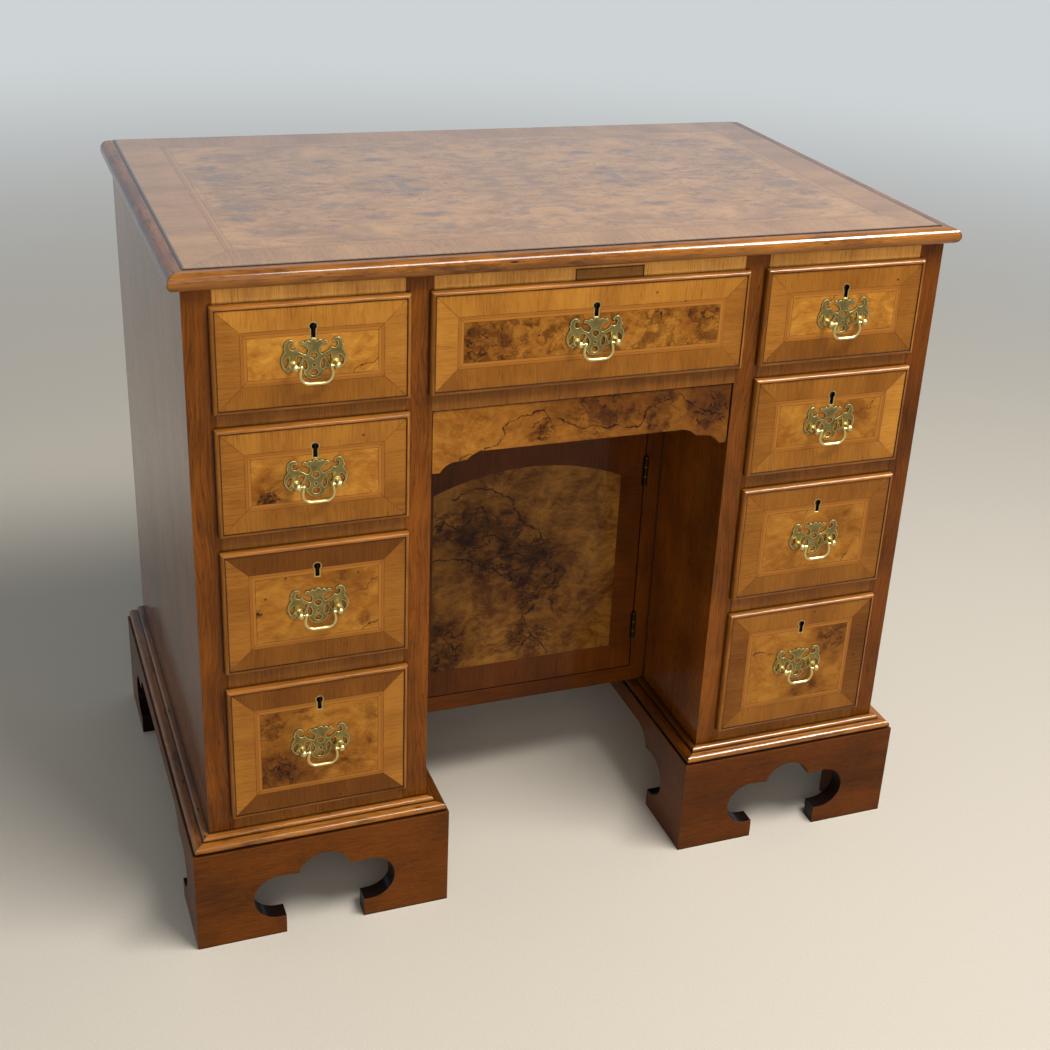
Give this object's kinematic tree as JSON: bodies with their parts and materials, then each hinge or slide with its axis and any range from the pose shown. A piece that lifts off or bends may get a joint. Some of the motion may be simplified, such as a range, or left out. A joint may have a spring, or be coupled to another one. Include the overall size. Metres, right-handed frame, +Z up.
{
  "type": "kneehole desk",
  "caption": "Kneehole desk in veneered walnut: graduated lipped drawers with bail handles, shaped apron drawer, recessed hinged cupboard, pedestals on bracket feet.",
  "frame": {"origin": "on the floor, under the middle of the desk's overall box", "axes": "+X to the sitter's right, +Y from the drawer fronts to the back, +Z up"},
  "size_m": [0.8414, 0.5266, 0.745],
  "materials": {
    "walnut_veneer": "French polish",
    "rail_walnut": "French polish",
    "solid_walnut": "French polish",
    "lining_wood": "bare, aged",
    "brass": "old lacquered brass"
  },
  "bodies": {
    "carcase": {"back_boards": "lining_wood", "base_mouldings": "solid_walnut", "cupboard_boards": "lining_wood", "cupboard_frame": "walnut_veneer", "desk_top": "walnut_veneer", "drawer_guides": "lining_wood", "frame_hinges": "brass", "glue_blocks": "lining_wood", "kneehole_rail": "rail_walnut", "left_bracket_feet": "solid_walnut", "left_dividers": "rail_walnut", "left_inner_side": "walnut_veneer", "left_outer_side": "walnut_veneer", "pedestal_floors": "rail_walnut", "right_bracket_feet": "solid_walnut", "right_dividers": "rail_walnut", "right_inner_side": "walnut_veneer", "right_outer_side": "walnut_veneer", "top_moulding": "solid_walnut", "top_rails": "rail_walnut"},
    "long_drawer": {"long_drawer_front": "walnut_veneer", "long_drawer_box": "lining_wood", "long_drawer_brass": "brass"},
    "long_drawer_bail": {"long_drawer_bail": "brass"},
    "left_drawer_1": {"left_drawer_1_front": "walnut_veneer", "left_drawer_1_box": "lining_wood", "left_drawer_1_brass": "brass"},
    "left_drawer_1_bail": {"left_drawer_1_bail": "brass"},
    "right_drawer_1": {"right_drawer_1_front": "walnut_veneer", "right_drawer_1_box": "lining_wood", "right_drawer_1_brass": "brass"},
    "right_drawer_1_bail": {"right_drawer_1_bail": "brass"},
    "left_drawer_2": {"left_drawer_2_front": "walnut_veneer", "left_drawer_2_box": "lining_wood", "left_drawer_2_brass": "brass"},
    "left_drawer_2_bail": {"left_drawer_2_bail": "brass"},
    "right_drawer_2": {"right_drawer_2_front": "walnut_veneer", "right_drawer_2_box": "lining_wood", "right_drawer_2_brass": "brass"},
    "right_drawer_2_bail": {"right_drawer_2_bail": "brass"},
    "left_drawer_3": {"left_drawer_3_front": "walnut_veneer", "left_drawer_3_box": "lining_wood", "left_drawer_3_brass": "brass"},
    "left_drawer_3_bail": {"left_drawer_3_bail": "brass"},
    "right_drawer_3": {"right_drawer_3_front": "walnut_veneer", "right_drawer_3_box": "lining_wood", "right_drawer_3_brass": "brass"},
    "right_drawer_3_bail": {"right_drawer_3_bail": "brass"},
    "left_drawer_4": {"left_drawer_4_front": "walnut_veneer", "left_drawer_4_box": "lining_wood", "left_drawer_4_brass": "brass"},
    "left_drawer_4_bail": {"left_drawer_4_bail": "brass"},
    "right_drawer_4": {"right_drawer_4_front": "walnut_veneer", "right_drawer_4_box": "lining_wood", "right_drawer_4_brass": "brass"},
    "right_drawer_4_bail": {"right_drawer_4_bail": "brass"},
    "apron_drawer": {"apron_drawer_front": "walnut_veneer", "apron_drawer_box": "lining_wood"},
    "cupboard_door": {"cupboard_door": "walnut_veneer", "cupboard_door_brass": "brass"}
  },
  "joints": [
    {"name": "long_drawer_slide", "type": "slide", "parent": "carcase", "child": "long_drawer", "axis": [0, -1, 0], "range_m": [0, 0.36]},
    {"name": "long_drawer_bail_swing", "type": "hinge", "parent": "long_drawer", "child": "long_drawer_bail", "pos_m": [0, -0.2598, 0.65135], "axis": [-1, 0, 0], "range_deg": [-25, 100]},
    {"name": "left_drawer_1_slide", "type": "slide", "parent": "carcase", "child": "left_drawer_1", "axis": [0, -1, 0], "range_m": [0, 0.36]},
    {"name": "left_drawer_1_bail_swing", "type": "hinge", "parent": "left_drawer_1", "child": "left_drawer_1_bail", "pos_m": [-0.28225, -0.2598, 0.65135], "axis": [-1, 0, 0], "range_deg": [-25, 100]},
    {"name": "right_drawer_1_slide", "type": "slide", "parent": "carcase", "child": "right_drawer_1", "axis": [0, -1, 0], "range_m": [0, 0.36]},
    {"name": "right_drawer_1_bail_swing", "type": "hinge", "parent": "right_drawer_1", "child": "right_drawer_1_bail", "pos_m": [0.28225, -0.2598, 0.65135], "axis": [-1, 0, 0], "range_deg": [-25, 100]},
    {"name": "left_drawer_2_slide", "type": "slide", "parent": "carcase", "child": "left_drawer_2", "axis": [0, -1, 0], "range_m": [0, 0.36]},
    {"name": "left_drawer_2_bail_swing", "type": "hinge", "parent": "left_drawer_2", "child": "left_drawer_2_bail", "pos_m": [-0.28225, -0.2598, 0.5298], "axis": [-1, 0, 0], "range_deg": [-25, 100]},
    {"name": "right_drawer_2_slide", "type": "slide", "parent": "carcase", "child": "right_drawer_2", "axis": [0, -1, 0], "range_m": [0, 0.36]},
    {"name": "right_drawer_2_bail_swing", "type": "hinge", "parent": "right_drawer_2", "child": "right_drawer_2_bail", "pos_m": [0.28225, -0.2598, 0.5298], "axis": [-1, 0, 0], "range_deg": [-25, 100]},
    {"name": "left_drawer_3_slide", "type": "slide", "parent": "carcase", "child": "left_drawer_3", "axis": [0, -1, 0], "range_m": [0, 0.36]},
    {"name": "left_drawer_3_bail_swing", "type": "hinge", "parent": "left_drawer_3", "child": "left_drawer_3_bail", "pos_m": [-0.28225, -0.2598, 0.3895], "axis": [-1, 0, 0], "range_deg": [-25, 100]},
    {"name": "right_drawer_3_slide", "type": "slide", "parent": "carcase", "child": "right_drawer_3", "axis": [0, -1, 0], "range_m": [0, 0.36]},
    {"name": "right_drawer_3_bail_swing", "type": "hinge", "parent": "right_drawer_3", "child": "right_drawer_3_bail", "pos_m": [0.28225, -0.2598, 0.3895], "axis": [-1, 0, 0], "range_deg": [-25, 100]},
    {"name": "left_drawer_4_slide", "type": "slide", "parent": "carcase", "child": "left_drawer_4", "axis": [0, -1, 0], "range_m": [0, 0.36]},
    {"name": "left_drawer_4_bail_swing", "type": "hinge", "parent": "left_drawer_4", "child": "left_drawer_4_bail", "pos_m": [-0.28225, -0.2598, 0.2258], "axis": [-1, 0, 0], "range_deg": [-25, 100]},
    {"name": "right_drawer_4_slide", "type": "slide", "parent": "carcase", "child": "right_drawer_4", "axis": [0, -1, 0], "range_m": [0, 0.36]},
    {"name": "right_drawer_4_bail_swing", "type": "hinge", "parent": "right_drawer_4", "child": "right_drawer_4_bail", "pos_m": [0.28225, -0.2598, 0.2258], "axis": [-1, 0, 0], "range_deg": [-25, 100]},
    {"name": "apron_drawer_slide", "type": "slide", "parent": "carcase", "child": "apron_drawer", "axis": [0, -1, 0], "range_m": [0, 0.1]},
    {"name": "cupboard_door_swing", "type": "hinge", "parent": "carcase", "child": "cupboard_door", "pos_m": [0.1439, -0.0892, 0.3167], "axis": [0, 0, 1], "range_deg": [0, 95]}
  ]
}
